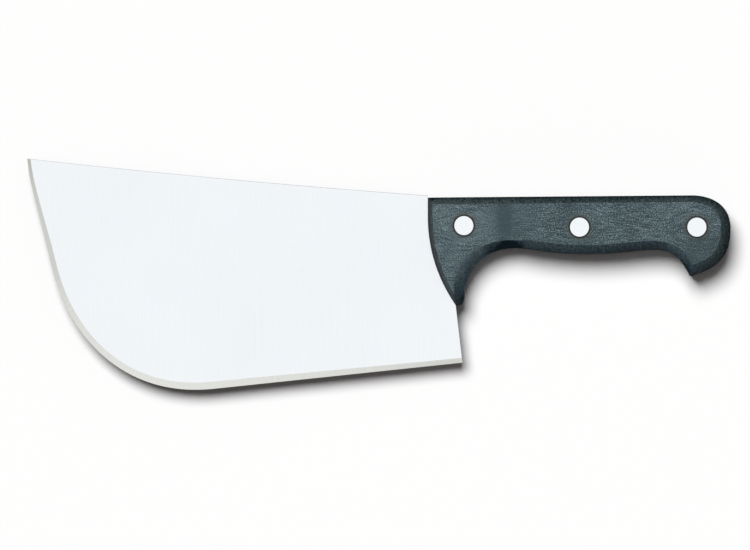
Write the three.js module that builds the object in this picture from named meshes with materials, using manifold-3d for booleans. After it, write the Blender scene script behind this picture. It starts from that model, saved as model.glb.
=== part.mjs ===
// A butcher's cleaver lying on its right side: a full-tang blade, two handle scales and the three
// two-piece cutler's rivets that hold them. Millimetres, +Z up. +X runs from the tip to the butt and
// +Y from the cutting edge to the spine. Places are drawn from the top front corner of the scales,
// on the middle plane of the blade, and the whole is then set on its lowest face at the origin.

import * as THREE from 'three';
import { mergeVertices } from 'three/addons/utils/BufferGeometryUtils.js';
import loadManifold from 'manifold-3d';

const manifold = await loadManifold();
manifold.setup();
const { Manifold, Mesh: ManifoldMesh } = manifold;

// Blade
const bladeLength = 200; // tip to heel
const bladeThickness = 4; // at the tang and the heel
const tipThickness = 2.4;
const taperLead = 2; // the taper to the tip starts this far ahead of the scales
const tipRise = 17.9; // tip above the top of the scales
const heelSetback = 16; // heel corner behind the front of the scales
const heelDrop = 75.8; // heel corner below the top of the scales
const spineStep = 0.9; // the spine stands this far above the scales
const spineHollow = 0.9; // dip of the spine below a straight line
const edgeLand = 0.1; // width left at the cutting edge

// Cutting edge: a leaning front that rounds off to the tip, a belly and a straight stretch to the heel
const frontLean = 14.1; // degrees from upright
const frontLead = 1.2; // the straight front, carried up, passes this far ahead of the tip
const tipLean = 5.1; // degrees from upright, at the tip
const tipRound = 24.4; // length of the front that rounds off to the tip
const heelSlope = 6; // degrees that the straight stretch climbs towards the heel
const bellyFrontReach = 62.7; // start of the belly from the crossing of the two straight lines
const bellyHeelReach = 58.8; // end of the belly from the same crossing
const bellyFrontFullness = 0.53;
const bellyHeelFullness = 0.68;
const bevelAtTip = 1.5; // ground bevel, seen square to the blade
const bevelAtFront = 2.4; // where the front runs into the belly
const bevelAtBelly = 3.4; // where the belly runs into the straight stretch
const bevelAtHeel = 2.2;

// Handle outline, shared by the scales and the tang
const handleLength = 138.9;
const topRise = 1; // the top climbs this much towards the butt
const buttRound = 17.5; // length of the butt's upper curve
const buttDrop = 14.1; // rearmost point of the butt below the top
const beakInset = 18.2; // point of the beak ahead of the butt
const beakDrop = 36.2;
const beakUnderLean = 17.8; // degrees, where the butt runs into the beak
const beakHookLean = 62.8; // degrees, where the grip runs into the beak
const waistInset = 34.6; // slim place ahead of the butt
const waistDrop = 24;
const swellSetback = 72; // swell for the palm
const swellDrop = 25.95;
const notchSetback = 40.6; // top of the finger notch
const notchDrop = 23.2;
const throatSetback = 16.5; // where the finger notch meets the guard
const throatDrop = 42.6;
const throatLean = 18; // degrees from upright
const guardDrop = 49.5; // lower end of the scales' front
const guardLean = 20; // degrees, where the guard's round end leaves the front
const frontStraight = 9; // upright upper stretch of the scales' front
const frontRadius = 70; // the front then sweeps back on this radius

// How far each outline curve holds its two end directions, as shares of its span
const tipEase = [0.35, 0.35];
const guardEase = [0.46, 0.46];
const notchEase = [0.1, 0.65];
const gripFrontEase = [0.16, 0.5];
const gripRearEase = [0.5, 0.26];
const hookEase = [0.49, 0.4];
const buttUnderEase = [0.4, 0.51];
const buttTopEase = [0.56, 0.235];

// Scales
const scaleThickness = 8;
const topChamfer = { width: 3.2, depth: 3 };
const buttChamfer = { width: 4.5, depth: 4.2 };
const beakChamfer = { width: 5, depth: 4.2 };
const hookChamfer = { width: 2.6, depth: 3.6 };
const gripChamfer = { width: 4.2, depth: 3.6 };
const notchChamfer = { width: 3.6, depth: 5.6 }; // the finger notch is cut steeper than the grip
const throatChamfer = { width: 6, depth: 5.6 };
const guardChamfer = { width: 4.9, depth: 5.6 };
const throatShare = 0.45; // the cut is widest at this share of the finger notch
const notchEnd = 0.18; // the steep cut ends at this share of the grip's front curve
const frontSlope = { width: 2.2, depth: scaleThickness }; // the front leans back all the way up

// Shoulder halfway up each chamfer, as shares of its width and depth
const roundShoulder = { across: 0.42, up: 0.6 };
const flatShoulder = { across: 0.5, up: 0.5 };
const frontShoulder = { across: 0.64, up: 0.9 };

// Rivets
const frontRivet = { setback: 16.5, drop: 12.9 };
const middleRivet = { setback: 69.5, drop: 13.6 };
const rearRivet = { inset: 15.6, drop: 13.6 }; // ahead of the butt
const headDiameter = 8.8;
const headHeight = 1.5;
const pinDiameter = 4.4;
const tubeWall = 0.8;
const tubeShort = 3; // the tube stops this far below the pin's head
const pinShort = 2; // the pin stops this far above the tube's head
const boreFloor = 1; // metal left between the tube's bore and its head
const pinLead = 0.5; // chamfer on the end of the pin
const headGap = 0.3; // ring left around each head
const pinGap = 0.1; // pin in tube
const tubeGap = 0.2; // tube in tang and scales

// Smoothness
const curveSteps = 14;
const tipSteps = 6;
const bellySteps = 40;
const heelSteps = 8;
const roundSteps = 36;
const weldReach = 1e-5;

const steel = new THREE.MeshStandardMaterial({ color: 0xe6ebee, roughness: 0.25, metalness: 1 });
const acetal = new THREE.MeshStandardMaterial({ color: 0x2c3436, roughness: 0.5, metalness: 0 });
const rivetSteel = new THREE.MeshStandardMaterial({ color: 0xe4e7e8, roughness: 0.22, metalness: 1 });

// Worked out from the sizes above
const halfBlade = bladeThickness / 2;
const halfTip = tipThickness / 2;
const halfLand = edgeLand / 2;
const faceHeight = halfBlade + scaleThickness;
const seatHeight = faceHeight - headHeight;
const pinRadius = pinDiameter / 2;
const boreRadius = pinRadius + pinGap;
const tubeRadius = boreRadius + tubeWall;
const holeRadius = tubeRadius + tubeGap;
const headRadius = headDiameter / 2;
const counterboreRadius = headRadius + headGap;
const tipX = heelSetback - bladeLength;
const rivets = [
  { name: 'front', x: frontRivet.setback, y: -frontRivet.drop },
  { name: 'middle', x: middleRivet.setback, y: -middleRivet.drop },
  { name: 'rear', x: handleLength - rearRivet.inset, y: -rearRivet.drop },
];

const at = (x, y) => new THREE.Vector2(x, y);
const toward = (degrees) => at(1, 0).rotateAround(at(0, 0), THREE.MathUtils.degToRad(degrees));

// Bezier curve that leaves and arrives along two directions.
function bend(from, leaving, to, arriving, [easeFrom, easeTo]) {
  const span = from.distanceTo(to);
  const first = from.clone().addScaledVector(leaving, easeFrom * span);
  const second = to.clone().addScaledVector(arriving, -easeTo * span);
  return new THREE.CubicBezierCurve(from, first, second, to);
}

function crossing(fromA, toA, fromB, toB) {
  const a = toA.clone().sub(fromA);
  const b = toB.clone().sub(fromB);
  const between = fromB.clone().sub(fromA);
  const turn = a.cross(b);
  return { alongA: between.cross(b) / turn, alongB: between.cross(a) / turn };
}

// Closed solid from rings of points, stacked from the lowest to the highest.
function loft(rings) {
  const count = rings[0].length;
  const index = [];
  for (let level = 0; level + 1 < rings.length; level++) {
    for (let i = 0; i < count; i++) {
      const low = level * count + i;
      const lowNext = level * count + (i + 1) % count;
      index.push(low, lowNext, lowNext + count, low, lowNext + count, low + count);
    }
  }
  const top = (rings.length - 1) * count;
  for (const [a, b, c] of capOf(rings[0])) {
    index.push(a, c, b);
  }
  for (const [a, b, c] of capOf(rings.at(-1))) {
    index.push(top + a, top + b, top + c);
  }
  const geometry = new THREE.BufferGeometry().setFromPoints(rings.flat());
  geometry.setIndex(index);
  return geometry;
}

// Triangles over a flat ring, whose neighbouring points may fall together.
function capOf(ring) {
  const kept = [];
  for (let i = 0; i < ring.length; i++) {
    if (ring[i].distanceTo(ring.at(i - 1)) > weldReach) {
      kept.push(i);
    }
  }
  const outline = kept.map((i) => at(ring[i].x, ring[i].y));
  return THREE.ShapeUtils.triangulateShape(outline, []).map((face) => face.map((i) => kept[i]));
}

function solidOf(geometry) {
  geometry.deleteAttribute('normal');
  geometry.deleteAttribute('uv');
  const welded = mergeVertices(geometry, weldReach);
  const corners = welded.index.array;
  const triangles = [];
  for (let i = 0; i < corners.length; i += 3) {
    const [a, b, c] = corners.slice(i, i + 3);
    if (a !== b && b !== c && c !== a) {
      triangles.push(a, b, c);
    }
  }
  const vertProperties = new Float32Array(welded.attributes.position.array);
  const triVerts = new Uint32Array(triangles);
  return new Manifold(new ManifoldMesh({ numProp: 3, vertProperties, triVerts }));
}

function geometryOf(solid) {
  const { vertProperties, triVerts } = solid.getMesh();
  const geometry = new THREE.BufferGeometry();
  geometry.setAttribute('position', new THREE.BufferAttribute(vertProperties, 3));
  geometry.setIndex(new THREE.BufferAttribute(triVerts, 1));
  geometry.computeVertexNormals();
  return geometry;
}

// Body of revolution about Z from [radius, height] pairs that start and end on the axis.
function turned(profile) {
  const points = profile.map(([radius, height]) => at(radius, height));
  return new THREE.LatheGeometry(points, roundSteps).rotateX(Math.PI / 2);
}

// The handle outline in three sides, counterclockwise: underside, back with top, and front.
function handleSides() {
  const sweep = Math.asin((guardDrop - frontStraight) / frontRadius);
  const frontCorner = at(0, 0);
  const frontBend = at(0, -frontStraight);
  const guard = at(frontRadius * (1 - Math.cos(sweep)), -guardDrop);
  const throat = at(throatSetback, -throatDrop);
  const notch = at(notchSetback, -notchDrop);
  const swell = at(swellSetback, -swellDrop);
  const waist = at(handleLength - waistInset, -waistDrop);
  const beak = at(handleLength - beakInset, -beakDrop);
  const butt = at(handleLength, -buttDrop);
  const topEnd = at(handleLength - buttRound, topRise);
  const back = toward(0);
  const up = toward(90);

  const intoThroat = toward(90 + throatLean);
  const outOfThroat = toward(90 - throatLean);
  const guardTip = bend(guard, toward(-guardLean), throat, intoThroat, guardEase);
  const fingerNotch = bend(throat, outOfThroat, notch, back, notchEase);
  const gripFront = bend(notch, back, swell, back, gripFrontEase);
  const gripRear = bend(swell, back, waist, back, gripRearEase);
  const beakHook = bend(waist, back, beak, toward(-beakHookLean), hookEase);
  const buttUnder = bend(beak, toward(beakUnderLean), butt, up, buttUnderEase);
  const buttTop = bend(butt, up, topEnd, toward(180), buttTopEase);
  const top = new THREE.LineCurve(topEnd, frontCorner);
  const frontUpper = new THREE.LineCurve(frontCorner, frontBend);
  const frontSweep = new THREE.EllipseCurve(
    frontRadius, -frontStraight, frontRadius, frontRadius, Math.PI, Math.PI + sweep);

  return [
    sideOf([
      { curve: guardTip, from: guardChamfer, to: guardChamfer, shoulder: flatShoulder },
      { curve: fingerNotch, span: [0, throatShare], from: guardChamfer, to: throatChamfer, shoulder: flatShoulder },
      { curve: fingerNotch, span: [throatShare, 1], from: throatChamfer, to: notchChamfer, shoulder: flatShoulder },
      { curve: gripFront, span: [0, notchEnd], from: notchChamfer, to: notchChamfer, shoulder: flatShoulder },
      { curve: gripFront, span: [notchEnd, 1], from: gripChamfer, to: gripChamfer, shoulder: flatShoulder },
      { curve: gripRear, from: gripChamfer, to: gripChamfer, shoulder: flatShoulder },
      { curve: beakHook, from: gripChamfer, to: hookChamfer, shoulder: flatShoulder },
    ]),
    sideOf([
      { curve: buttUnder, from: beakChamfer, to: buttChamfer, shoulder: flatShoulder },
      { curve: buttTop, from: buttChamfer, to: topChamfer, shoulder: flatShoulder },
      { curve: top, from: topChamfer, to: topChamfer, shoulder: roundShoulder },
    ]),
    sideOf([
      { curve: frontUpper, from: frontSlope, to: frontSlope, shoulder: frontShoulder },
      { curve: frontSweep, from: frontSlope, to: frontSlope, shoulder: frontShoulder },
    ]),
  ];
}

// Points along one side, each with the chamfer cut there and its point on the scale's face.
function sideOf(stretches) {
  const points = [];
  stretches.forEach(({ curve, span = [0, 1], from, to, shoulder }, which) => {
    const [start, end] = span;
    const steps = Math.ceil((end - start) * curveSteps);
    const last = which === stretches.length - 1;
    for (let step = 0; step < steps + (last ? 1 : 0); step++) {
      const share = step / steps;
      const t = THREE.MathUtils.lerp(start, end, share);
      const point = curve.getPoint(t);
      const tangent = curve.getTangent(t);
      const width = THREE.MathUtils.lerp(from.width, to.width, share);
      const depth = THREE.MathUtils.lerp(from.depth, to.depth, share);
      const face = at(point.x - tangent.y * width, point.y + tangent.x * width);
      points.push({ point, face, depth, shoulder });
    }
  });
  return points;
}

// Where the face lines of two neighbouring sides cross, everything past the crossing joins it.
function mitre(side, next) {
  for (let i = 0; i + 1 < side.length; i++) {
    for (let j = next.length - 2; j >= 0; j--) {
      const { face: start } = side[i];
      const { alongA, alongB } = crossing(start, side[i + 1].face, next[j].face, next[j + 1].face);
      if (alongA >= 0 && alongA <= 1 && alongB >= 0 && alongB <= 1) {
        const corner = start.clone().lerp(side[i + 1].face, alongA);
        side.slice(i + 1).forEach((sample) => { sample.face = corner; });
        next.slice(0, j + 1).forEach((sample) => { sample.face = corner; });
        return;
      }
    }
  }
}

function mitredSides() {
  const sides = handleSides();
  sides.forEach((side, i) => mitre(side, sides[(i + 1) % sides.length]));
  return sides.map((side) => side.slice(0, -1));
}

// Left scale, seated on the tang at its lower face, with counterbored rivet holes.
function scaleSolid(sides) {
  const outline = sides.flat();
  const seat = outline.map(({ point }) => new THREE.Vector3(point.x, point.y, halfBlade));
  const wall = outline.map(({ point, depth }) => (
    new THREE.Vector3(point.x, point.y, faceHeight - depth)));
  const face = outline.map((sample) => new THREE.Vector3(sample.face.x, sample.face.y, faceHeight));
  const shoulder = outline.map((sample, i) => {
    const { across, up } = sample.shoulder;
    const point = wall[i].clone().lerp(face[i], across);
    return point.setZ(THREE.MathUtils.lerp(wall[i].z, face[i].z, up));
  });
  const slab = solidOf(loft([seat, wall, shoulder, face]));
  const cuts = rivets.map(({ x, y }) => (
    solidOf(turned([
      [0, 0],
      [holeRadius, 0],
      [holeRadius, seatHeight],
      [counterboreRadius, seatHeight],
      [counterboreRadius, faceHeight + headHeight],
      [0, faceHeight + headHeight],
    ])).translate([x, y, 0])));
  return slab.subtract(Manifold.union(cuts));
}

function halfThicknessAt(x) {
  const share = Math.max(0, (-taperLead - x) / (-taperLead - tipX));
  return THREE.MathUtils.lerp(halfBlade, halfTip, share);
}

// Cutting edge from the tip to the heel, each point with the bevel ground there.
function cuttingEdge(tip, heel) {
  const down = toward(frontLean - 90);
  const rear = toward(heelSlope);
  const frontTop = tip.clone().sub(at(frontLead, 0));
  const { alongA } = crossing(frontTop, frontTop.clone().add(down), heel, heel.clone().sub(rear));
  const frontEnd = alongA - bellyFrontReach;
  const corner = frontTop.clone().addScaledVector(down, alongA);
  const frontStart = frontTop.clone().addScaledVector(down, tipRound);
  const bellyStart = frontTop.clone().addScaledVector(down, frontEnd);
  const bellyEnd = corner.clone().addScaledVector(rear, bellyHeelReach);
  const tipBend = bend(tip, toward(tipLean - 90), frontStart, down, tipEase);
  const belly = new THREE.CubicBezierCurve(
    bellyStart,
    bellyStart.clone().lerp(corner, bellyFrontFullness),
    bellyEnd.clone().lerp(corner, bellyHeelFullness),
    bellyEnd);
  const bevelAtStart = THREE.MathUtils.lerp(bevelAtTip, bevelAtFront, tipRound / frontEnd);
  const front = new THREE.LineCurve(frontStart, bellyStart);
  const stretches = [
    { curve: tipBend, steps: tipSteps, from: bevelAtTip, to: bevelAtStart },
    { curve: front, steps: 1, from: bevelAtStart, to: bevelAtFront },
    { curve: belly, steps: bellySteps, from: bevelAtFront, to: bevelAtBelly },
    { curve: new THREE.LineCurve(bellyEnd, heel), steps: heelSteps, from: bevelAtBelly, to: bevelAtHeel },
  ];
  const edge = [];
  for (const { curve, steps, from, to } of stretches) {
    for (let step = 0; step < steps; step++) {
      const t = step / steps;
      const tangent = curve.getTangent(t);
      const inward = at(-tangent.y, tangent.x);
      edge.push({ point: curve.getPoint(t), inward, bevel: THREE.MathUtils.lerp(from, to, t) });
    }
  }
  edge.push({ point: heel, inward: at(-rear.y, rear.x), bevel: bevelAtHeel });
  return edge;
}

// The bevel is drawn up to the full thickness and cut back by the taper, which leaves its width.
function bevelInset({ point, inward, bevel }, along) {
  const half = halfThicknessAt(point.x);
  const run = bevel * (halfBlade - halfLand) / (half - halfLand);
  return point.clone().addScaledVector(along, run / along.dot(inward));
}

function bladeSolid([underside, back]) {
  const tip = at(tipX, tipRise);
  const heel = at(heelSetback, -heelDrop);
  const spineEnd = at(0, spineStep);
  const spineDip = tip.clone().lerp(spineEnd, 0.5).add(at(0, -2 * spineHollow));
  const spine = new THREE.QuadraticBezierCurve(spineEnd, spineDip, tip);
  const edge = cuttingEdge(tip, heel);
  const guard = underside[0].point;
  const backward = spine.getPoint(1 - 1 / curveSteps).sub(tip).normalize();
  const upward = guard.clone().sub(heel).normalize();
  const inset = edge.map((sample, i) => {
    const ends = { 0: backward, [edge.length - 1]: upward };
    return bevelInset(sample, ends[i] ?? sample.inward);
  });
  const rest = [
    ...[...underside, ...back].map(({ point }) => point),
    at(0, 0),
    ...spine.getPoints(curveSteps).slice(0, -1),
  ];
  const rim = [...edge.map(({ point }) => point), ...rest];
  const flat = [...inset, ...rest];
  const raised = (points, height) => points.map(({ x, y }) => new THREE.Vector3(x, y, height));
  const plate = solidOf(loft([
    raised(flat, -halfBlade),
    raised(rim, -halfLand),
    raised(rim, halfLand),
    raised(flat, halfBlade),
  ]));
  const holes = rivets.map(({ x, y }) => (
    solidOf(turned([
      [0, -bladeThickness],
      [holeRadius, -bladeThickness],
      [holeRadius, bladeThickness],
      [0, bladeThickness],
    ])).translate([x, y, 0])));
  return plate.intersect(taperSolid()).subtract(Manifold.union(holes));
}

// Wedge that thins the blade towards the tip and clears it everywhere behind the taper.
function taperSolid() {
  const slope = (halfBlade - halfTip) / (-taperLead - tipX);
  const start = tipX - bladeLength / 2;
  const end = handleLength + bladeLength / 2;
  const halfAt = (x) => halfBlade + slope * (x + taperLead);
  const profile = new THREE.Shape([
    at(start, -halfAt(start)),
    at(end, -halfAt(end)),
    at(end, halfAt(end)),
    at(start, halfAt(start)),
  ]);
  const wedge = new THREE.ExtrudeGeometry(profile, { depth: 2 * bladeLength, bevelEnabled: false });
  return solidOf(wedge.translate(0, 0, -bladeLength).rotateX(Math.PI / 2));
}

// Solid half of a rivet: its head lies flush in the left scale.
function pinGeometry() {
  const end = -seatHeight + pinShort;
  return turned([
    [0, end],
    [pinRadius - pinLead, end],
    [pinRadius, end + pinLead],
    [pinRadius, seatHeight],
    [headRadius, seatHeight],
    [headRadius, faceHeight],
    [0, faceHeight],
  ]);
}

// Hollow half of a rivet: its head lies flush in the right scale, its bore opens upward.
function tubeGeometry() {
  const mouth = seatHeight - tubeShort;
  return turned([
    [0, -faceHeight],
    [headRadius, -faceHeight],
    [headRadius, -seatHeight],
    [tubeRadius, -seatHeight],
    [tubeRadius, mouth],
    [boreRadius, mouth],
    [boreRadius, -seatHeight + boreFloor],
    [0, -seatHeight + boreFloor],
  ]);
}

function piece(name, geometry, material) {
  const mesh = new THREE.Mesh(geometry, material);
  mesh.name = name;
  return mesh;
}

function handleGroup(sides) {
  const handle = new THREE.Group();
  const scale = scaleSolid(sides);
  handle.add(piece('left_scale', geometryOf(scale), acetal));
  handle.add(piece('right_scale', geometryOf(scale.mirror([0, 0, 1])), acetal));
  for (const { name, x, y } of rivets) {
    const rivet = new THREE.Group();
    rivet.position.set(x, y, 0);
    rivet.add(piece(`${name}_rivet_pin`, pinGeometry(), rivetSteel));
    rivet.add(piece(`${name}_rivet_tube`, tubeGeometry(), rivetSteel));
    handle.add(rivet);
  }
  return handle;
}

const sides = mitredSides();
const cleaver = new THREE.Group();
cleaver.add(piece('blade', geometryOf(bladeSolid(sides)), steel));
cleaver.add(handleGroup(sides));

const extent = new THREE.Box3().setFromObject(cleaver);
const middle = extent.getCenter(new THREE.Vector3());
cleaver.position.set(-middle.x, -middle.y, -extent.min.z);

export default cleaver;
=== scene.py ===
import math

import bmesh
import bpy
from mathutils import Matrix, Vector


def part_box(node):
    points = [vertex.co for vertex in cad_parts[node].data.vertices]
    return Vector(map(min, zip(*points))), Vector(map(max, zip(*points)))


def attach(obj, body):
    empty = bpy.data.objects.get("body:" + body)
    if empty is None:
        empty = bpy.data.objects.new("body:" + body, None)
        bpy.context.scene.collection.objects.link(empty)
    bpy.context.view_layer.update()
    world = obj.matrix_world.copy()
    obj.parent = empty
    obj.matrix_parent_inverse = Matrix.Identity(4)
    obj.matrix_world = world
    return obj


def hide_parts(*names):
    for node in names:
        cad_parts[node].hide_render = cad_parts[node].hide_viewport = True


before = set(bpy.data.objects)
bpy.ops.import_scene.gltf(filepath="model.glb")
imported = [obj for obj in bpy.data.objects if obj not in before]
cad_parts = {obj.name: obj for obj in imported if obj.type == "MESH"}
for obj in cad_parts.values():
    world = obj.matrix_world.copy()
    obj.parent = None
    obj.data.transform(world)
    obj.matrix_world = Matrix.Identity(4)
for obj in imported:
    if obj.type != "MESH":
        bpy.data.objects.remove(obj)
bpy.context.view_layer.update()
scene = bpy.context.scene
mm = 0.001
midPlane = 10 * mm  # the blade's middle plane above the floor
cornerTurn = math.radians(40)  # edges that turn more than this are shaded as corners
rivetNames = ("front", "middle", "rear")


# sRGB hex to the linear colour that the shaders take
def linear(hexColour):
    channels = [int(hexColour[i:i + 2], 16) / 255 for i in (1, 3, 5)]
    return (*[c / 12.92 if c < 0.04045 else ((c + 0.055) / 1.055) ** 2.4 for c in channels], 1)


# one node: settings by name, values and links by socket;
# a colour mix has its factor at socket 0, its colours at 6 and 7 and its result at 2
def addNode(tree, kind, values=None, links=None, **settings):
    node = tree.nodes.new(kind)
    for name, value in settings.items():
        setattr(node, name, value)
    for socket, value in (values or {}).items():
        node.inputs[socket].default_value = value
    for socket, source in (links or {}).items():
        tree.links.new(source, node.inputs[socket])
    return node


# stops of a colour ramp as (position, colour)
def setStops(ramp, stops):
    while len(ramp.elements) < len(stops):
        ramp.elements.new(0.5)
    for element, (position, colour) in zip(ramp.elements, stops):
        element.position = position
        element.color = colour


def newMaterial(name):
    material = bpy.data.materials.new(name)
    material.use_nodes = True
    tree = material.node_tree
    return material, tree, tree.nodes["Principled BSDF"]


# colour, roughness and relief of a surface; the look gives the relief's strength and its depth in mm
def finishSurface(tree, shader, look, colour, roughness, height):
    strength, depth = look["relief"]
    bump = addNode(tree, "ShaderNodeBump", {"Strength": strength, "Distance": depth * mm}, {"Height": height})
    tree.links.new(colour, shader.inputs["Base Color"])
    tree.links.new(roughness, shader.inputs["Roughness"])
    tree.links.new(bump.outputs["Normal"], shader.inputs["Normal"])


# steel from the marks that a tool left on it, and from the shade that picks its tone
def finishSteel(tree, shader, look, marks, shade):
    tone = addNode(tree, "ShaderNodeValToRGB", links={"Fac": shade})
    setStops(tone.color_ramp, [(at, linear(colour)) for at, colour in look["tones"]])
    low, high = look["roughness"]
    gloss = addNode(tree, "ShaderNodeMapRange", {"To Min": low, "To Max": high}, {"Value": marks})
    shader.inputs["Metallic"].default_value = 1
    finishSurface(tree, shader, look, tone.outputs["Color"], gloss.outputs["Result"], marks)


def addPiece(name, mesh):
    piece = bpy.data.objects.new(name, mesh)
    scene.collection.objects.link(piece)
    return piece


# modifiers so far made into plain mesh
def makePlain(piece):
    ready = piece.evaluated_get(bpy.context.evaluated_depsgraph_get())
    mesh = bpy.data.meshes.new_from_object(ready)
    mesh.name = piece.name
    piece.modifiers.clear()
    piece.data = mesh


# smooth shading that leaves flats flat and corners that weren't rounded sharp
def shadeByFlats(piece):
    for face in piece.data.polygons:
        face.use_smooth = True
    piece.data.set_sharp_from_angle(angle=cornerTurn)
    normals = piece.modifiers.new("flatNormals", "WEIGHTED_NORMAL")
    normals.keep_sharp = True


def rivetCentre(name):
    low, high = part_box(name + "_rivet_pin")
    return (low + high) / 2


rivetCentres = [rivetCentre(name) for name in rivetNames]


# copy of a CAD node, welded, with its flat faces whole again
def cadCopy(nodeName, pieceName, weld, oneFlat):
    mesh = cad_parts[nodeName].data.copy()
    mesh.name = pieceName
    mesh.materials.clear()
    if mesh.has_custom_normals:
        mesh.attributes.remove(mesh.attributes["custom_normal"])  # they'd hide corners from shadeByFlats
    shape = bmesh.new()
    shape.from_mesh(mesh)
    bmesh.ops.remove_doubles(shape, verts=shape.verts, dist=weld)
    bmesh.ops.dissolve_limit(shape, angle_limit=oneFlat, verts=shape.verts, edges=shape.edges)
    shape.to_mesh(mesh)
    shape.free()
    return addPiece(pieceName, mesh)


rounding = {
    "sharpest": math.radians(12),  # flatter edges stay as they are
    "runsOn": math.cos(math.radians(35)),  # edges that turn less than this are one run
    "inLine": 0.8,  # sharp edges less in line than this make a corner
    "crossing": 0.85,  # edges less in line than this cross
    "point": 0.7,  # sharp edges that leave a corner more alike than this close to a point
    "share": 0.4,  # of a crossing edge's length
    "pointShare": 0.2,  # of an edge that ends in a sharp point
    "segments": 3,
}


def isSharp(edge):
    return edge.is_manifold and edge.calc_face_angle() > rounding["sharpest"]


# how far two edges that share a corner point the same way from it
def sameWay(vert, edge, other):
    along = (edge.other_vert(vert).co - vert.co).normalized()
    return along.dot((other.other_vert(vert).co - vert.co).normalized())


# sharp edges in runs, because a round that changes its width along a run folds over
def sharpRuns(shape):
    left = [edge for edge in shape.edges if isSharp(edge)]
    runs = []
    while left:
        run = [left.pop()]
        for edge in run:
            for vert in edge.verts:
                following = [other for other in left if vert in other.verts]
                for other in following:
                    if -sameWay(vert, edge, other) > rounding["runsOn"]:
                        left.remove(other)
                        run.append(other)
        runs.append(run)
    return runs


# other edges at a corner that share a face with this one
def neighbours(vert, edge):
    faces = set(edge.link_faces)
    return [other for other in vert.link_edges if other != edge and faces & set(other.link_faces)]


# two sharp edges that close to a point
def isPoint(vert, edge, other):
    return isSharp(edge) and isSharp(other) and sameWay(vert, edge, other) > rounding["point"]


# two sharp edges that turn a corner
def isCorner(vert, edge, other):
    return isSharp(other) and -sameWay(vert, edge, other) < rounding["inLine"]


# short sharp edges at a corner are closed up, so that the round has room there
def closeCorners(shape, shortest):
    for edge in [e for e in shape.edges if isSharp(e) and e.calc_length() < shortest]:
        for vert in edge.verts:
            if any(isCorner(vert, edge, other) for other in neighbours(vert, edge)):
                bmesh.ops.pointmerge(shape, verts=edge.verts, merge_co=vert.co)
                break


# room that an edge has for its round, from the edges it meets at its ends
def roomFor(edge):
    room = math.inf
    for vert in edge.verts:
        for other in neighbours(vert, edge):
            if abs(sameWay(vert, edge, other)) < rounding["crossing"]:
                room = min(room, rounding["share"] * other.calc_length())
            if isPoint(vert, edge, other):
                shorter = min(edge.calc_length(), other.calc_length())
                room = min(room, rounding["pointShare"] * shorter)
    return room


# Bevel on the sharp edges, each run with its own width
def roundEdges(piece, widthOf, widest, shortest=0):
    shape = bmesh.new()
    shape.from_mesh(piece.data)
    shape.normal_update()
    closeCorners(shape, shortest)
    shape.normal_update()
    weights = shape.edges.layers.float.new("bevel_weight_edge")
    for run in sharpRuns(shape):
        width = min(min(widthOf(edge), roomFor(edge)) for edge in run)
        for edge in run:
            edge[weights] = width / widest
    shape.to_mesh(piece.data)
    shape.free()
    bevel = piece.modifiers.new("easedEdges", "BEVEL")
    bevel.limit_method = "WEIGHT"
    bevel.width = widest
    bevel.segments = rounding["segments"]
    bevel.use_clamp_overlap = False
    makePlain(piece)
    shadeByFlats(piece)


def edgeHeights(edge):
    return [abs(v.co.z - midPlane) for v in edge.verts]


def isNearRivet(edge, reach):
    middle = (edge.verts[0].co + edge.verts[1].co) / 2
    return any((middle - centre).xy.length < reach for centre in rivetCentres)


# Blade
blade = {
    "weld": 0.002 * mm,
    "oneFlat": math.radians(0.1),  # less than the turn from the tang to the tapered flats
    "spineRound": 0.15 * mm,
    "shoulderRound": 0.1 * mm,
    "square": math.radians(70),  # edges that turn more than this are rounded as the spine is
    "holeReach": 6 * mm,  # hole edges, which stay sharp, lie this near a rivet's axis
    "landHeight": 0.3 * mm,  # the cutting edge below this stays as ground
    "groundSlope": (0.5, 0.97),  # upright share of a ground bevel's normal
}

# stainless steel, belt ground and satin polished: a bright even grey with faint upright lines,
# which are really finer than 0.1 mm and are drawn wider so that they show
satinSteel, tree, shader = newMaterial("stainlessSteelSatinGround")
satinLook = {
    "tones": ((0.5, "#dfe3e6"), (1, "#e4e8eb")),
    "line": (0.9, 60),  # mm wide and long
    "cloud": 45,  # mm
    "cloudShare": 0.5,
    "roughness": (0.14, 0.36),
    "relief": (0.4, 0.03),
}
place = addNode(tree, "ShaderNodeTexCoord")
width, length = satinLook["line"]
lines = addNode(tree, "ShaderNodeMapping", {"Scale": (width * mm, length * mm, length * mm)},
                {"Vector": place.outputs["Object"]}, vector_type="TEXTURE")
grind = addNode(tree, "ShaderNodeTexNoise", {"Scale": 1, "Detail": 3, "Roughness": 0.6},
                {"Vector": lines.outputs["Vector"]})
cloud = addNode(tree, "ShaderNodeTexNoise", {"Scale": 1 / (satinLook["cloud"] * mm), "Detail": 2},
                {"Vector": place.outputs["Object"]})
mixed = addNode(tree, "ShaderNodeMath", {1: satinLook["cloudShare"]}, {
    0: cloud.outputs["Fac"], 2: grind.outputs["Fac"]}, operation="MULTIPLY_ADD")
finishSteel(tree, shader, satinLook, grind.outputs["Fac"], mixed.outputs["Value"])

# the same steel ground on a stone: duller and a little warmer, with scratches square to the edge,
# which are drawn wider than the stone's grit so that they show
stoneSteel, tree, shader = newMaterial("stainlessSteelStoneGround")
stoneLook = {
    "tones": ((0.3, "#d6d7d2"), (0.7, "#e2e3de")),
    "scratch": 0.5,  # mm
    "roughness": (0.26, 0.4),
    "relief": (0.08, 0.01),
}
run = addNode(tree, "ShaderNodeAttribute", attribute_name="edgeRun")
scratches = addNode(tree, "ShaderNodeTexNoise", {"Scale": 1 / (stoneLook["scratch"] * mm), "Detail": 3},
                    {"W": run.outputs["Fac"]}, noise_dimensions="1D")
finishSteel(tree, shader, stoneLook, scratches.outputs["Fac"], scratches.outputs["Fac"])

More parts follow.
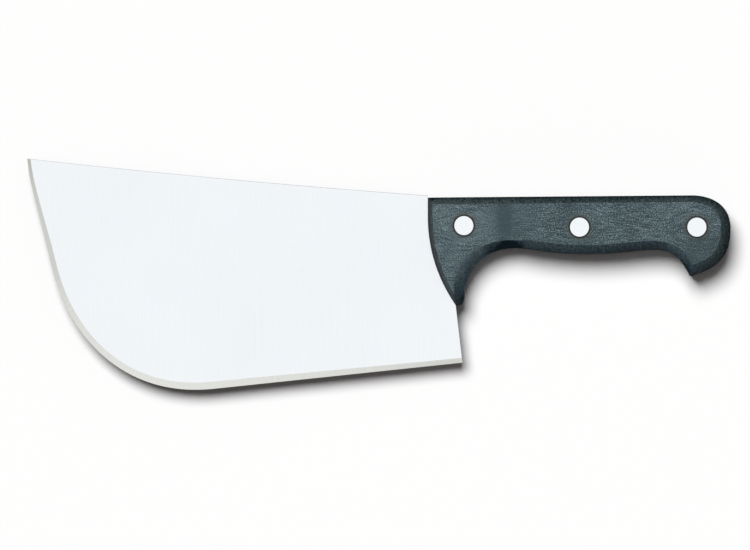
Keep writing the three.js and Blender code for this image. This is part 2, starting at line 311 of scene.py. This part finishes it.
bladePiece = cadCopy("blade", "cleaverBlade", blade["weld"], blade["oneFlat"])
bladePiece.data.materials.append(satinSteel)
bladePiece.data.materials.append(stoneSteel)


def bladeEdgeWidth(edge):
    if min(edgeHeights(edge)) < blade["landHeight"] or isNearRivet(edge, blade["holeReach"]):
        return 0
    isSquare = edge.calc_face_angle() > blade["square"]
    return blade["spineRound"] if isSquare else blade["shoulderRound"]


# run along the cutting edge from the tip, kept on each point for the grinding scratches
def markEdgeRun(mesh):
    left = [v.co.copy() for v in mesh.vertices if 0 < v.co.z - midPlane < blade["landHeight"]]
    chain = [max(left, key=lambda p: p.y)]
    runs = [0.0]
    left.remove(chain[0])
    while left:
        nearest = min(left, key=lambda p: (p - chain[-1]).length)
        left.remove(nearest)
        runs.append(runs[-1] + (nearest - chain[-1]).length)
        chain.append(nearest)
    edgeRun = mesh.attributes.new("edgeRun", "FLOAT", "POINT")
    for vert in mesh.vertices:
        closest = min(range(len(chain)), key=lambda i: (chain[i] - vert.co).length)
        edgeRun.data[vert.index].value = runs[closest]
    return runs[-1]


steepest, flattest = blade["groundSlope"]
for face in bladePiece.data.polygons:
    face.material_index = int(steepest < abs(face.normal.z) < flattest)
edgeLength = markEdgeRun(bladePiece.data)
roundEdges(bladePiece, bladeEdgeWidth, blade["spineRound"])
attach(bladePiece, "root")
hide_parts("blade")
print("blade with a cutting edge of", round(edgeLength / mm), "mm")

# Handle scales
scales = {
    "weld": 0.08 * mm,
    "oneFlat": math.radians(0.6),
    "shortest": 0.36 * mm,  # sharp edges at a corner that are shorter are closed up
    "edgeRound": 0.45 * mm,
    "seamRound": 0.12 * mm,
    "rimRound": 0.08 * mm,
    "rimReach": 5 * mm,  # hole edges lie this near a rivet's axis
    "seamHeight": 2.2 * mm,  # edges against the tang lie below this, from the middle plane
    "faceHeight": 9.9 * mm,  # and rims in the sanded face above this
    "flat": 0.95,  # upright share of a sanded face's normal
}
acetalIor = 1.48


# 1 in the middle of an oval patch right through the handle, fading out over its border,
# times the most it does
def patchShare(tree, place, middle, size, border, most):
    (x, y), (wide, high), (near, far) = middle, size, border
    fromMiddle = addNode(tree, "ShaderNodeMapping", {
        "Location": (x * mm, y * mm, midPlane), "Scale": (wide * mm, high * mm, 1)},
        {"Vector": place.outputs["Object"]}, vector_type="TEXTURE")
    reach = addNode(tree, "ShaderNodeVectorMath", links={0: fromMiddle.outputs["Vector"]}, operation="LENGTH")
    share = addNode(tree, "ShaderNodeMapRange", {
        "From Min": near, "From Max": far, "To Min": most, "To Max": 0},
        {"Value": reach.outputs["Value"]}, interpolation_type="SMOOTHSTEP")
    return share.outputs["Result"]


# 1 where the surface lies flat, 0 where it stands upright
def flatness(tree, place):
    normal = addNode(tree, "ShaderNodeSeparateXYZ", links={"Vector": place.outputs["Normal"]})
    level = addNode(tree, "ShaderNodeMath", links={0: normal.outputs["Z"]}, operation="ABSOLUTE")
    return level.outputs["Value"]


# black acetal, its faces belt sanded: slate grey with pale flecks that flow round the rivets,
# a ring of painted shade close to each rivet, a painted highlight that makes corners paler, and painted shade
# and highlight by the thumb
sandedAcetal, tree, shader = newMaterial("acetalBlackBeltSanded")
sandedLook = {
    "tones": ((0.42, "#18262c"), (0.49, "#29393e"), (0.57, "#5d6d71"), (0.65, "#859295")),
    # the grain that picks a tone: the size of each pattern in mm, and its share
    "fleck": (6, 0.5),  # long and wide, coarser than real so that it shows, as the grit is
    "fleckShare": 0.18,
    "grit": 0.55,
    "gritShare": 0.37,
    "cloud": 17,
    "cloudShare": 0.08,
    "grainBase": 0.185,  # keeps the grain's mean at a half
    "flowReach": (4.4, 17),  # mm from a rivet's axis
    "flowPush": 0.55,  # share of that distance at the rivet
    # painted shade in the gap against the rivets, then a faint warm halo: mm from the axis, colour and how
    # much of it shows
    "rings": ((5, "#16150f", 0.95), (5.4, "#3b3c33", 0.38), (7.4, "#3b3c33", 0)),
    "ringSpan": 10,  # mm
    # worn patches, and patches of painted shade and highlight: middle and size in mm, the tone they go to and
    # how far
    "wearAndShade": (
        ((61, 25), (17, 13), 0.5, 0.55),  # smooth under the thumb
        ((57.5, 26), (4.5, 13), 0.47, 0.5),  # painted shade, darkest in its middle
        ((48, 21), (8, 10), 0.55, 0.4),  # painted highlight, paler ahead of it
        ((150, 8), (15, 14), 0.44, 0.35),  # darker under the little finger
        ((31, 16), (9, 22), 0.56, 0.3),  # scuffed at the front
    ),
    "wearAndShadeBorder": (0.4, 1.1),  # of a patch's size
    "cornerScratch": (31.5, 29.5),  # mm, the front top corner
    "cornerReach": (3, 11),
    "scratch": (3.2, 0.7),  # mm long and wide, wider than real so that it shows
    "scratchTurn": math.radians(-28),
    "scratchPick": (0.6, 0.78),  # noise at which a scratch begins and is full
    "scratchMost": 0.16,
    # painted highlight on the corners: its colour, the flatness at which it begins and is full, the clouds it
    # shows in, and how much of it shows
    "rubbed": "#5b6a6e",
    "edgeHighlightTurn": (0.998, 0.97),  # flatness at which the rubbing begins and is full
    "edgeHighlightPick": (0.42, 0.66),  # clouds that it shows in
    "rubbedMost": 0.7,
    "glossPick": (0.35, 0.65),  # grain that is smoothest and roughest
    "roughness": (0.36, 0.5),
    "specular": 0.42,
    "relief": (0.4, 0.03),
}
place = addNode(tree, "ShaderNodeTexCoord")

# grain that bends round each rivet
flow = place.outputs["Object"]
nearest = None
near, far = sandedLook["flowReach"]
for centre in rivetCentres:
    away = addNode(tree, "ShaderNodeVectorMath", {1: centre}, {0: place.outputs["Object"]},
                   operation="SUBTRACT")
    flatAway = addNode(tree, "ShaderNodeVectorMath", {1: (1, 1, 0)}, {0: away.outputs["Vector"]},
                       operation="MULTIPLY")
    reach = addNode(tree, "ShaderNodeVectorMath", links={0: flatAway.outputs["Vector"]}, operation="LENGTH")
    push = addNode(tree, "ShaderNodeMapRange", {
        "From Min": near * mm, "From Max": far * mm, "To Min": -sandedLook["flowPush"], "To Max": 0},
        {"Value": reach.outputs["Value"]}, interpolation_type="SMOOTHSTEP")
    pushed = addNode(tree, "ShaderNodeVectorMath", links={
        0: flatAway.outputs["Vector"], "Scale": push.outputs["Result"]}, operation="SCALE")
    bent = addNode(tree, "ShaderNodeVectorMath", links={0: flow, 1: pushed.outputs["Vector"]})
    flow = bent.outputs["Vector"]
    if nearest is None:
        nearest = reach.outputs["Value"]
    else:
        nearest = addNode(tree, "ShaderNodeMath", links={0: nearest, 1: reach.outputs["Value"]},
                          operation="MINIMUM").outputs["Value"]

length, width = sandedLook["fleck"]
stretch = addNode(tree, "ShaderNodeMapping", {"Scale": (length * mm, width * mm, width * mm)},
                  {"Vector": flow}, vector_type="TEXTURE")
flecks = addNode(tree, "ShaderNodeTexNoise", {"Scale": 1, "Detail": 1, "Roughness": 0.6, "Distortion": 0.5},
                 {"Vector": stretch.outputs["Vector"]}, noise_dimensions="2D")
grit = addNode(tree, "ShaderNodeTexNoise", {
    "Scale": 1 / (sandedLook["grit"] * mm), "Detail": 1, "Roughness": 0.6},
    {"Vector": place.outputs["Object"]}, noise_dimensions="2D")
cloud = addNode(tree, "ShaderNodeTexNoise", {"Scale": 1 / (sandedLook["cloud"] * mm), "Detail": 2},
                {"Vector": flow}, noise_dimensions="2D")
clouds = addNode(tree, "ShaderNodeMath", {1: sandedLook["cloudShare"], 2: sandedLook["grainBase"]},
                 {0: cloud.outputs["Fac"]}, operation="MULTIPLY_ADD")
gritty = addNode(tree, "ShaderNodeMath", {1: sandedLook["gritShare"]}, {
    0: grit.outputs["Fac"], 2: clouds.outputs["Value"]}, operation="MULTIPLY_ADD")
grain = addNode(tree, "ShaderNodeMath", {1: sandedLook["fleckShare"]}, {
    0: flecks.outputs["Fac"], 2: gritty.outputs["Value"]}, operation="MULTIPLY_ADD")

# slanting scratches near the front top corner
x, y = sandedLook["cornerScratch"]
fromCorner = addNode(tree, "ShaderNodeVectorMath", {1: (x * mm, y * mm, 2 * midPlane)},
                     {0: place.outputs["Object"]}, operation="DISTANCE")
near, far = sandedLook["cornerReach"]
corner = addNode(tree, "ShaderNodeMapRange", {
    "From Min": near * mm, "From Max": far * mm, "To Min": 1, "To Max": 0},
    {"Value": fromCorner.outputs["Value"]})
length, width = sandedLook["scratch"]
slanted = addNode(tree, "ShaderNodeMapping", {
    "Rotation": (0, 0, sandedLook["scratchTurn"]), "Scale": (length * mm, width * mm, width * mm)},
    {"Vector": place.outputs["Object"]}, vector_type="TEXTURE")
slantNoise = addNode(tree, "ShaderNodeTexNoise", {"Scale": 1, "Detail": 1, "Distortion": 0.6},
                     {"Vector": slanted.outputs["Vector"]})
low, high = sandedLook["scratchPick"]
slants = addNode(tree, "ShaderNodeMapRange", {
    "From Min": low, "From Max": high, "To Max": sandedLook["scratchMost"]},
    {"Value": slantNoise.outputs["Fac"]})
scored = addNode(tree, "ShaderNodeMath", links={
    0: slants.outputs["Result"], 1: corner.outputs["Result"], 2: grain.outputs["Value"]},
    operation="MULTIPLY_ADD")

# where a hand and the board wear the face, and painted shade and highlight by the thumb
wornAndShaded = scored.outputs["Value"]
for middle, size, patchTone, most in sandedLook["wearAndShade"]:
    patch = patchShare(tree, place, middle, size, sandedLook["wearAndShadeBorder"], most)
    wornAndShaded = addNode(tree, "ShaderNodeMix", {"B": patchTone}, {"Factor": patch, "A": wornAndShaded}).outputs["Result"]
tone = addNode(tree, "ShaderNodeValToRGB", links={"Fac": wornAndShaded})
setStops(tone.color_ramp, [(at, linear(colour)) for at, colour in sandedLook["tones"]])

# rings round the rivets, painted shade in the gap and then a faint warm halo: the alpha is how much of each
# shows
span = sandedLook["ringSpan"]
ringShare = addNode(tree, "ShaderNodeMapRange", {"From Max": span * mm}, {"Value": nearest})
ring = addNode(tree, "ShaderNodeValToRGB", links={"Fac": ringShare.outputs["Result"]})
setStops(ring.color_ramp, [
    (reach / span, (*linear(colour)[:3], most)) for reach, colour, most in sandedLook["rings"]])
ringed = addNode(tree, "ShaderNodeMix", links={
    0: ring.outputs["Alpha"], 6: tone.outputs["Color"], 7: ring.outputs["Color"]}, data_type="RGBA")

# painted highlight on the corners, where the surface turns away from the face
begins, full = sandedLook["edgeHighlightTurn"]
turned = addNode(tree, "ShaderNodeMapRange", {"From Min": begins, "From Max": full},
                 {"Value": flatness(tree, place)})
low, high = sandedLook["edgeHighlightPick"]
inPlaces = addNode(tree, "ShaderNodeMapRange", {
    "From Min": low, "From Max": high, "To Max": sandedLook["rubbedMost"]}, {"Value": cloud.outputs["Fac"]})
patchy = addNode(tree, "ShaderNodeMath", links={0: turned.outputs["Result"], 1: inPlaces.outputs["Result"]},
                 operation="MULTIPLY")
rubbed = addNode(tree, "ShaderNodeMix", {7: linear(sandedLook["rubbed"])}, {
    0: patchy.outputs["Value"], 6: ringed.outputs[2]}, data_type="RGBA")
low, high = sandedLook["glossPick"]
smooth, rough = sandedLook["roughness"]
gloss = addNode(tree, "ShaderNodeMapRange", {
    "From Min": low, "From Max": high, "To Min": smooth, "To Max": rough}, {"Value": wornAndShaded})
shader.inputs["IOR"].default_value = acetalIor
shader.inputs["Specular IOR Level"].default_value = sandedLook["specular"]
finishSurface(tree, shader, sandedLook, rubbed.outputs[2], gloss.outputs["Result"], wornAndShaded)

# the same acetal as the cutter left it on chamfers and sides: darker, with faint mill lines across,
# painted shade that keeps it darker away from the sanded faces and near black in the finger hollow,
# painted light that makes it paler towards the guard, smoother on the chamfers than on the steep sides
milledAcetal, tree, shader = newMaterial("acetalBlackMilled")
milledLook = {
    "tones": ((0.4, "#0b161b"), (0.53, "#283a42"), (0.64, "#3c4a50"), (0.8, "#586a71")),
    "line": (0.6, 6),  # mm wide and long
    "grit": 0.9,  # mm, coarser than real so that it shows
    "gritShare": 0.75,
    "shadeDepth": (5.5, 10),  # painted shade, darker deeper down: mm from the middle plane
    "shadeShift": (-0.1, 0.1),  # of the tone, over that depth
    # patches of painted shade, of painted light and of plain tone: middle and size in mm, how soft their
    # border is and how far they shift the tone
    "shadeAndTonePatches": (
        ((59.5, 9), (6.8, 9), (0.6, 1.02), -0.28),  # painted shade, near black in the finger hollow
        ((126, 9), (42, 15), (0.3, 1), -0.05),  # a little darker under the other fingers
        ((95, 36), (85, 6), (0.3, 1), -0.06),  # and along the top
        ((43, 2), (10, 15), (0.55, 1.15), 0.17),  # painted light, paler towards the guard
        ((136, 9.5), (7, 8), (0.5, 1.1), 0.09),  # paler in the hook
    ),
    "grip": ((90, 0), (64, 22), (0.85, 1.1)),  # the part that the fingers keep blue-black
    "dry": "#ffe9db",  # tint elsewhere
    "slope": (0.25, 0.5),  # flatness of the steep sides and of the chamfers
    "roughness": (0.62, 0.21),
    "specular": 0.12,
    "relief": (0.25, 0.02),
}
place = addNode(tree, "ShaderNodeTexCoord")
width, length = milledLook["line"]
crossing = addNode(tree, "ShaderNodeMapping", {"Scale": (width * mm, length * mm, length * mm)},
                   {"Vector": place.outputs["Object"]}, vector_type="TEXTURE")
millLines = addNode(tree, "ShaderNodeTexNoise", {"Scale": 1, "Detail": 3, "Roughness": 0.7},
                    {"Vector": crossing.outputs["Vector"]})
grit = addNode(tree, "ShaderNodeTexNoise", {
    "Scale": 1 / (milledLook["grit"] * mm), "Detail": 3, "Roughness": 0.75},
    {"Vector": place.outputs["Object"]})
cut = addNode(tree, "ShaderNodeMix", {"Factor": milledLook["gritShare"]}, {
    "A": millLines.outputs["Fac"], "B": grit.outputs["Fac"]})

# how near the sanded face, for painted shade deeper down, and the patches of painted shade, painted light and
# tone
point = addNode(tree, "ShaderNodeSeparateXYZ", links={"Vector": place.outputs["Object"]})
fromMiddle = addNode(tree, "ShaderNodeMath", {1: midPlane}, {0: point.outputs["Z"]}, operation="SUBTRACT")
depth = addNode(tree, "ShaderNodeMath", links={0: fromMiddle.outputs["Value"]}, operation="ABSOLUTE")
near, far = milledLook["shadeDepth"]
darker, paler = milledLook["shadeShift"]
depthShade = addNode(tree, "ShaderNodeMapRange", {
    "From Min": near * mm, "From Max": far * mm, "To Min": darker, "To Max": paler},
    {"Value": depth.outputs["Value"]})
shadedTone = addNode(tree, "ShaderNodeMath", links={0: cut.outputs["Result"], 1: depthShade.outputs["Result"]})
for patch in milledLook["shadeAndTonePatches"]:
    shift = patchShare(tree, place, *patch)
    shadedTone = addNode(tree, "ShaderNodeMath", links={0: shadedTone.outputs["Value"], 1: shift})
tone = addNode(tree, "ShaderNodeValToRGB", links={"Fac": shadedTone.outputs["Value"]})
setStops(tone.color_ramp, [(at, linear(colour)) for at, colour in milledLook["tones"]])
film = patchShare(tree, place, *milledLook["grip"], 1)
dryShare = addNode(tree, "ShaderNodeMath", {0: 1}, {1: film}, operation="SUBTRACT")
dried = addNode(tree, "ShaderNodeMix", {7: linear(milledLook["dry"])}, {
    0: dryShare.outputs["Value"], 6: tone.outputs["Color"]}, data_type="RGBA", blend_type="MULTIPLY")
steep, slanting = milledLook["slope"]
rough, smooth = milledLook["roughness"]
gloss = addNode(tree, "ShaderNodeMapRange", {
    "From Min": steep, "From Max": slanting, "To Min": rough, "To Max": smooth},
    {"Value": flatness(tree, place)})
shader.inputs["IOR"].default_value = acetalIor
shader.inputs["Specular IOR Level"].default_value = milledLook["specular"]
finishSurface(tree, shader, milledLook, dried.outputs[2], gloss.outputs["Result"], cut.outputs["Result"])


def scaleEdgeWidth(edge):
    heights = edgeHeights(edge)
    if isNearRivet(edge, scales["rimReach"]):
        return scales["rimRound"] if min(heights) > scales["faceHeight"] else 0
    return scales["seamRound"] if max(heights) < scales["seamHeight"] else scales["edgeRound"]


for side in ("left", "right"):
    node = side + "_scale"
    scalePiece = cadCopy(node, side + "HandleScale", scales["weld"], scales["oneFlat"])
    scalePiece.data.materials.append(sandedAcetal)
    scalePiece.data.materials.append(milledAcetal)
    for face in scalePiece.data.polygons:
        face.material_index = int(abs(face.normal.z) < scales["flat"])
    roundEdges(scalePiece, scaleEdgeWidth, scales["edgeRound"], scales["shortest"])
    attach(scalePiece, "root")
    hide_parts(node)
    print(scalePiece.name, len(scalePiece.data.polygons), "faces")

# Rivets: a solid pin pressed into a tube from the other side
rivets = {
    "headHeight": 1.5 * mm,
    "crown": 0.05 * mm,  # the heads are very slightly domed
    "crownMiddle": 0.6,  # share of the radius at which the dome has a point of its own
    "rimRound": 0.12 * mm,
    "rimSegments": 2,
    "pinRadius": 2.2 * mm,
    "pinChamfer": 0.5 * mm,
    "tubeRadius": 3.1 * mm,
    "tubeChamfer": 0.2 * mm,
    "boreRadius": 2.3 * mm,
    "boreFloor": 2.5 * mm,  # metal left under the bore, head included
    "sides": 72,
    "weld": 0.001 * mm,
    "sunk": 0.04 * mm,  # each is driven in a little differently
    "seed": 5,
}

# stainless steel, turned and polished: near white, with faint rings from the lathe tool,
# drawn wider than the tool's feed so that they show
turnedSteel, tree, shader = newMaterial("stainlessSteelTurned")
turnedLook = {
    "tones": ((0.3, "#dfe3e6"), (0.7, "#e6eaed")),
    "ring": 0.4,  # mm
    "roughness": (0.18, 0.28),
    "relief": (0.04, 0.01),
}
turnRadius = addNode(tree, "ShaderNodeAttribute", attribute_name="turnRadius")
rings = addNode(tree, "ShaderNodeTexNoise", {"Scale": 1 / (turnedLook["ring"] * mm), "Detail": 2},
                {"W": turnRadius.outputs["Fac"]}, noise_dimensions="1D")
finishSteel(tree, shader, turnedLook, rings.outputs["Fac"], rings.outputs["Fac"])

# the turning: a profile of radius and depth, spun round the axis and set at each rivet's place
turning = bpy.data.node_groups.new("turnedRivet", "GeometryNodeTree")
sizeNames = ("Head Radius", "Head Height", "Crown", "Shank Radius", "Length", "Chamfer", "Bore Radius",
             "Bore Depth", "Turn Over", "Sunk")
sockets = {}
for name, kind in (("Places", "Geometry"), *((n, "Float") for n in sizeNames), ("Sides", "Int"),
                   ("Seed", "Int"), ("Steel", "Material")):
    sockets[name] = turning.interface.new_socket(name, in_out="INPUT", socket_type="NodeSocket" + kind)
turning.interface.new_socket("Rivets", in_out="OUTPUT", socket_type="NodeSocketGeometry")
given = addNode(turning, "NodeGroupInput").outputs
middleRadius = addNode(turning, "ShaderNodeMath", {1: rivets["crownMiddle"]}, {0: given["Head Radius"]},
                       operation="MULTIPLY")
middleDepth = addNode(turning, "ShaderNodeMath", {1: rivets["crownMiddle"] ** 2}, {0: given["Crown"]},
                      operation="MULTIPLY")
leadRadius = addNode(turning, "ShaderNodeMath", links={0: given["Shank Radius"], 1: given["Chamfer"]},
                     operation="SUBTRACT")
leadDepth = addNode(turning, "ShaderNodeMath", links={0: given["Length"], 1: given["Chamfer"]},
                    operation="SUBTRACT")
floorDepth = addNode(turning, "ShaderNodeMath", links={0: given["Length"], 1: given["Bore Depth"]},
                     operation="SUBTRACT")
profile = (
    (None, None),
    (middleRadius.outputs[0], middleDepth.outputs[0]),
    (given["Head Radius"], given["Crown"]),
    (given["Head Radius"], given["Head Height"]),
    (given["Shank Radius"], given["Head Height"]),
    (given["Shank Radius"], leadDepth.outputs[0]),
    (leadRadius.outputs[0], given["Length"]),
    (given["Bore Radius"], given["Length"]),
    (given["Bore Radius"], floorDepth.outputs[0]),
    (None, floorDepth.outputs[0]),
)
around = addNode(turning, "FunctionNodeIntegerMath", {1: 1}, {0: given["Sides"]}, operation="ADD")
sheet = addNode(turning, "GeometryNodeMeshGrid", {"Vertices X": len(profile)},
                {"Vertices Y": around.outputs[0]})
index = addNode(turning, "GeometryNodeInputIndex")
row = addNode(turning, "FunctionNodeIntegerMath", links={0: index.outputs[0], 1: around.outputs[0]},
              operation="DIVIDE_FLOOR")
column = addNode(turning, "FunctionNodeIntegerMath", links={0: index.outputs[0], 1: around.outputs[0]},
                 operation="MODULO")
corner = addNode(turning, "GeometryNodeIndexSwitch", links={"Index": row.outputs[0]}, data_type="VECTOR")
for number, (radius, depth) in enumerate(profile):
    if number > 1:  # a switch starts with two items
        corner.index_switch_items.new()
    links = {name: socket for name, socket in (("X", radius), ("Z", depth)) if socket}
    point = addNode(turning, "ShaderNodeCombineXYZ", links=links)
    turning.links.new(point.outputs[0], corner.inputs[str(number)])
downward = addNode(turning, "ShaderNodeVectorMath", {1: (1, 1, -1)}, {0: corner.outputs[0]},
                   operation="MULTIPLY")
turnShare = addNode(turning, "ShaderNodeMath", links={0: column.outputs[0], 1: given["Sides"]},
                    operation="DIVIDE")
angle = addNode(turning, "ShaderNodeMath", {1: 2 * math.pi}, {0: turnShare.outputs[0]}, operation="MULTIPLY")
spun = addNode(turning, "ShaderNodeVectorRotate", links={
    "Vector": downward.outputs[0], "Angle": angle.outputs[0]}, rotation_type="Z_AXIS")
turned = addNode(turning, "GeometryNodeSetPosition", links={
    "Geometry": sheet.outputs["Mesh"], "Position": spun.outputs[0]})
radii = addNode(turning, "ShaderNodeSeparateXYZ", links={0: corner.outputs[0]})
marked = addNode(turning, "GeometryNodeStoreNamedAttribute", {"Name": "turnRadius"}, {
    "Geometry": turned.outputs[0], "Value": radii.outputs["X"]}, data_type="FLOAT", domain="POINT")
closed = addNode(turning, "GeometryNodeMergeByDistance", {"Distance": rivets["weld"]},
                 {"Geometry": marked.outputs[0]})
over = addNode(turning, "ShaderNodeCombineXYZ", links={"X": given["Turn Over"]})
placed = addNode(turning, "GeometryNodeInstanceOnPoints", links={
    "Points": given["Places"], "Instance": closed.outputs[0], "Rotation": over.outputs[0]})
driven = addNode(turning, "FunctionNodeRandomValue", links={
    3: given["Sunk"], "Seed": given["Seed"]})  # socket 3 is the largest number, and output 1 the number
inward = addNode(turning, "ShaderNodeMath", {1: -1}, {0: driven.outputs[1]}, operation="MULTIPLY")
shift = addNode(turning, "ShaderNodeCombineXYZ", links={"Z": inward.outputs[0]})
sunk = addNode(turning, "GeometryNodeTranslateInstances", {"Local Space": True}, {
    "Instances": placed.outputs[0], "Translation": shift.outputs[0]})
real = addNode(turning, "GeometryNodeRealizeInstances", links={"Geometry": sunk.outputs[0]})
steel = addNode(turning, "GeometryNodeSetMaterial", links={
    "Geometry": real.outputs[0], "Material": given["Steel"]})
addNode(turning, "NodeGroupOutput", links={0: steel.outputs[0]})


# one mesh for all the halves of a kind, from the boxes of the CAD halves
def rivetHalves(pieceName, kind, outer, sizes):
    boxes = [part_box(name + "_rivet_" + kind) for name in rivetNames]
    low, high = boxes[0]
    places = bpy.data.meshes.new(pieceName)
    places.from_pydata([(*((a + b) / 2).xy, outer(a.z, b.z)) for a, b in boxes], [], [])
    piece = addPiece(pieceName, places)
    spin = piece.modifiers.new("turnedRivet", "NODES")
    spin.node_group = turning
    sizes = {**sizes, "Head Radius": (high.x - low.x) / 2, "Length": high.z - low.z,
             "Head Height": rivets["headHeight"], "Crown": rivets["crown"], "Sunk": rivets["sunk"],
             "Sides": rivets["sides"], "Seed": rivets["seed"], "Steel": turnedSteel}
    for name, value in sizes.items():
        spin[sockets[name].identifier] = value
    rim = piece.modifiers.new("easedRims", "BEVEL")
    rim.width = rivets["rimRound"]
    rim.segments = rivets["rimSegments"]
    rim.limit_method = "ANGLE"
    rim.angle_limit = cornerTurn
    makePlain(piece)
    piece.data.materials.pop(index=0)  # the grid's empty slot
    shadeByFlats(piece)
    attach(piece, "root")
    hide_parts(*[name + "_rivet_" + kind for name in rivetNames])
    print(pieceName, len(piece.data.polygons), "faces")


rivetHalves("rivetPins", "pin", max, {
    "Shank Radius": rivets["pinRadius"], "Chamfer": rivets["pinChamfer"], "Bore Radius": 0.0,
    "Bore Depth": 0.0, "Turn Over": 0.0})
tubeLow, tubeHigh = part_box("front_rivet_tube")
rivetHalves("rivetTubes", "tube", min, {
    "Shank Radius": rivets["tubeRadius"], "Chamfer": rivets["tubeChamfer"],
    "Bore Radius": rivets["boreRadius"], "Bore Depth": tubeHigh.z - tubeLow.z - rivets["boreFloor"],
    "Turn Over": math.pi})

# Studio
studio = {
    "floorSize": 24,  # metres
    "floor": "#ebebeb",
    "floorRoughness": 0.9,
    "keyStrength": 3.9,
    "keyTilt": 27.5,  # degrees off the vertical, toward the spine
    "keyTurn": -26,  # and a little toward the tip
    "keySpread": 32,
    "fill": (0.09, 0.081, 0.077, 1),  # all that the dome gives matte surfaces
    "openSide": (-0.3, -0.954, 0),  # the dome stays bright toward the cutting edge
    "openShare": (-0.2, 0.75),  # how squarely a ray heads there where that begins and is full
    # degrees from the zenith, and how bright the dome is there
    "openLevels": ((0, 1.19), (20, 1.18), (35, 1.13), (50, 1.08), (70, 1), (84, 1), (92, 0.9), (97, 0.3),
                   (103, 0.04), (180, 0.02)),
    "dimLevels": ((0, 1.19), (15, 1.18), (30, 0.98), (50, 0.5), (66, 0.22), (90, 0.2), (100, 0.06),
                  (180, 0.02)),
}
half = studio["floorSize"] / 2
floorMesh = bpy.data.meshes.new("studioFloor")
floorMesh.from_pydata([(-half, -half, 0), (half, -half, 0), (half, half, 0), (-half, half, 0)], [],
                      [(0, 1, 2, 3)])
floor = addPiece("studioFloor", floorMesh)
paper, tree, shader = newMaterial("whitePaperMatte")
shader.inputs["Base Color"].default_value = linear(studio["floor"])
shader.inputs["Roughness"].default_value = studio["floorRoughness"]
shader.inputs["Specular IOR Level"].default_value = 0
floorMesh.materials.append(paper)
floor.visible_glossy = False  # the dome below the horizon shows in the handle instead

key = bpy.data.objects.new("keyLight", bpy.data.lights.new("keyLight", "SUN"))
key.data.energy = studio["keyStrength"]
key.data.angle = math.radians(studio["keySpread"])
tilt = math.radians(studio["keyTilt"])
turn = math.radians(studio["keyTurn"])
toKey = Vector((math.sin(tilt) * math.sin(turn), math.sin(tilt) * math.cos(turn), math.cos(tilt)))
key.rotation_euler = toKey.to_track_quat("Z", "Y").to_euler()
key.visible_glossy = False  # the dome alone shows in the steel
scene.collection.objects.link(key)

# dome: white overhead, bright down to the horizon on the open side, and little fill on matte surfaces
dome = bpy.data.worlds.new("studioDome")
scene.world = dome
dome.use_nodes = True
tree = dome.node_tree
place = addNode(tree, "ShaderNodeTexCoord")
axes = addNode(tree, "ShaderNodeSeparateXYZ", links={"Vector": place.outputs["Generated"]})
fromZenith = addNode(tree, "ShaderNodeMath", links={0: axes.outputs["Z"]}, operation="ARCCOSINE")
share = addNode(tree, "ShaderNodeMapRange", {"From Max": math.pi}, {"Value": fromZenith.outputs["Value"]})
levels = []
for name in ("dimLevels", "openLevels"):
    ramp = addNode(tree, "ShaderNodeValToRGB", links={"Fac": share.outputs["Result"]})
    setStops(ramp.color_ramp, [(degrees / 180, (level, level, level, 1)) for degrees, level in studio[name]])
    levels.append(ramp.outputs["Color"])
toward = addNode(tree, "ShaderNodeVectorMath", {1: studio["openSide"]}, {0: place.outputs["Generated"]},
                 operation="DOT_PRODUCT")
low, high = studio["openShare"]
openness = addNode(tree, "ShaderNodeMapRange", {"From Min": low, "From Max": high},
                   {"Value": toward.outputs["Value"]}, interpolation_type="SMOOTHSTEP")
sky = addNode(tree, "ShaderNodeMix", links={0: openness.outputs["Result"], 6: levels[0], 7: levels[1]},
              data_type="RGBA")
rays = addNode(tree, "ShaderNodeLightPath")
lit = addNode(tree, "ShaderNodeMix", {7: studio["fill"]}, {
    0: rays.outputs["Is Diffuse Ray"], 6: sky.outputs[2]}, data_type="RGBA")
tree.links.new(lit.outputs[2], tree.nodes["Background"].inputs["Color"])
print("studio set")

# Camera, straight above as in the photograph
view = {
    "imageWidth": 750,
    "pixelsPerMm": 2.18,
    "lens": 400,  # long, so that blade and handle keep one scale
    "sensor": 36,
    "middle": (-1.67 * mm, -0.36 * mm),
    "scaleHeight": 16 * mm,  # the plane that has this scale
    "clipEnd": 50,  # metres
}
camera = bpy.data.objects.new("camera", bpy.data.cameras.new("camera"))
camera.data.lens = view["lens"]
camera.data.sensor_width = view["sensor"]
wide = view["imageWidth"] / view["pixelsPerMm"] * mm
camera.location = (*view["middle"], view["scaleHeight"] + wide * view["lens"] / view["sensor"])
camera.data.clip_end = view["clipEnd"]
scene.collection.objects.link(camera)
scene.camera = camera
scene.view_settings.view_transform = "Standard"
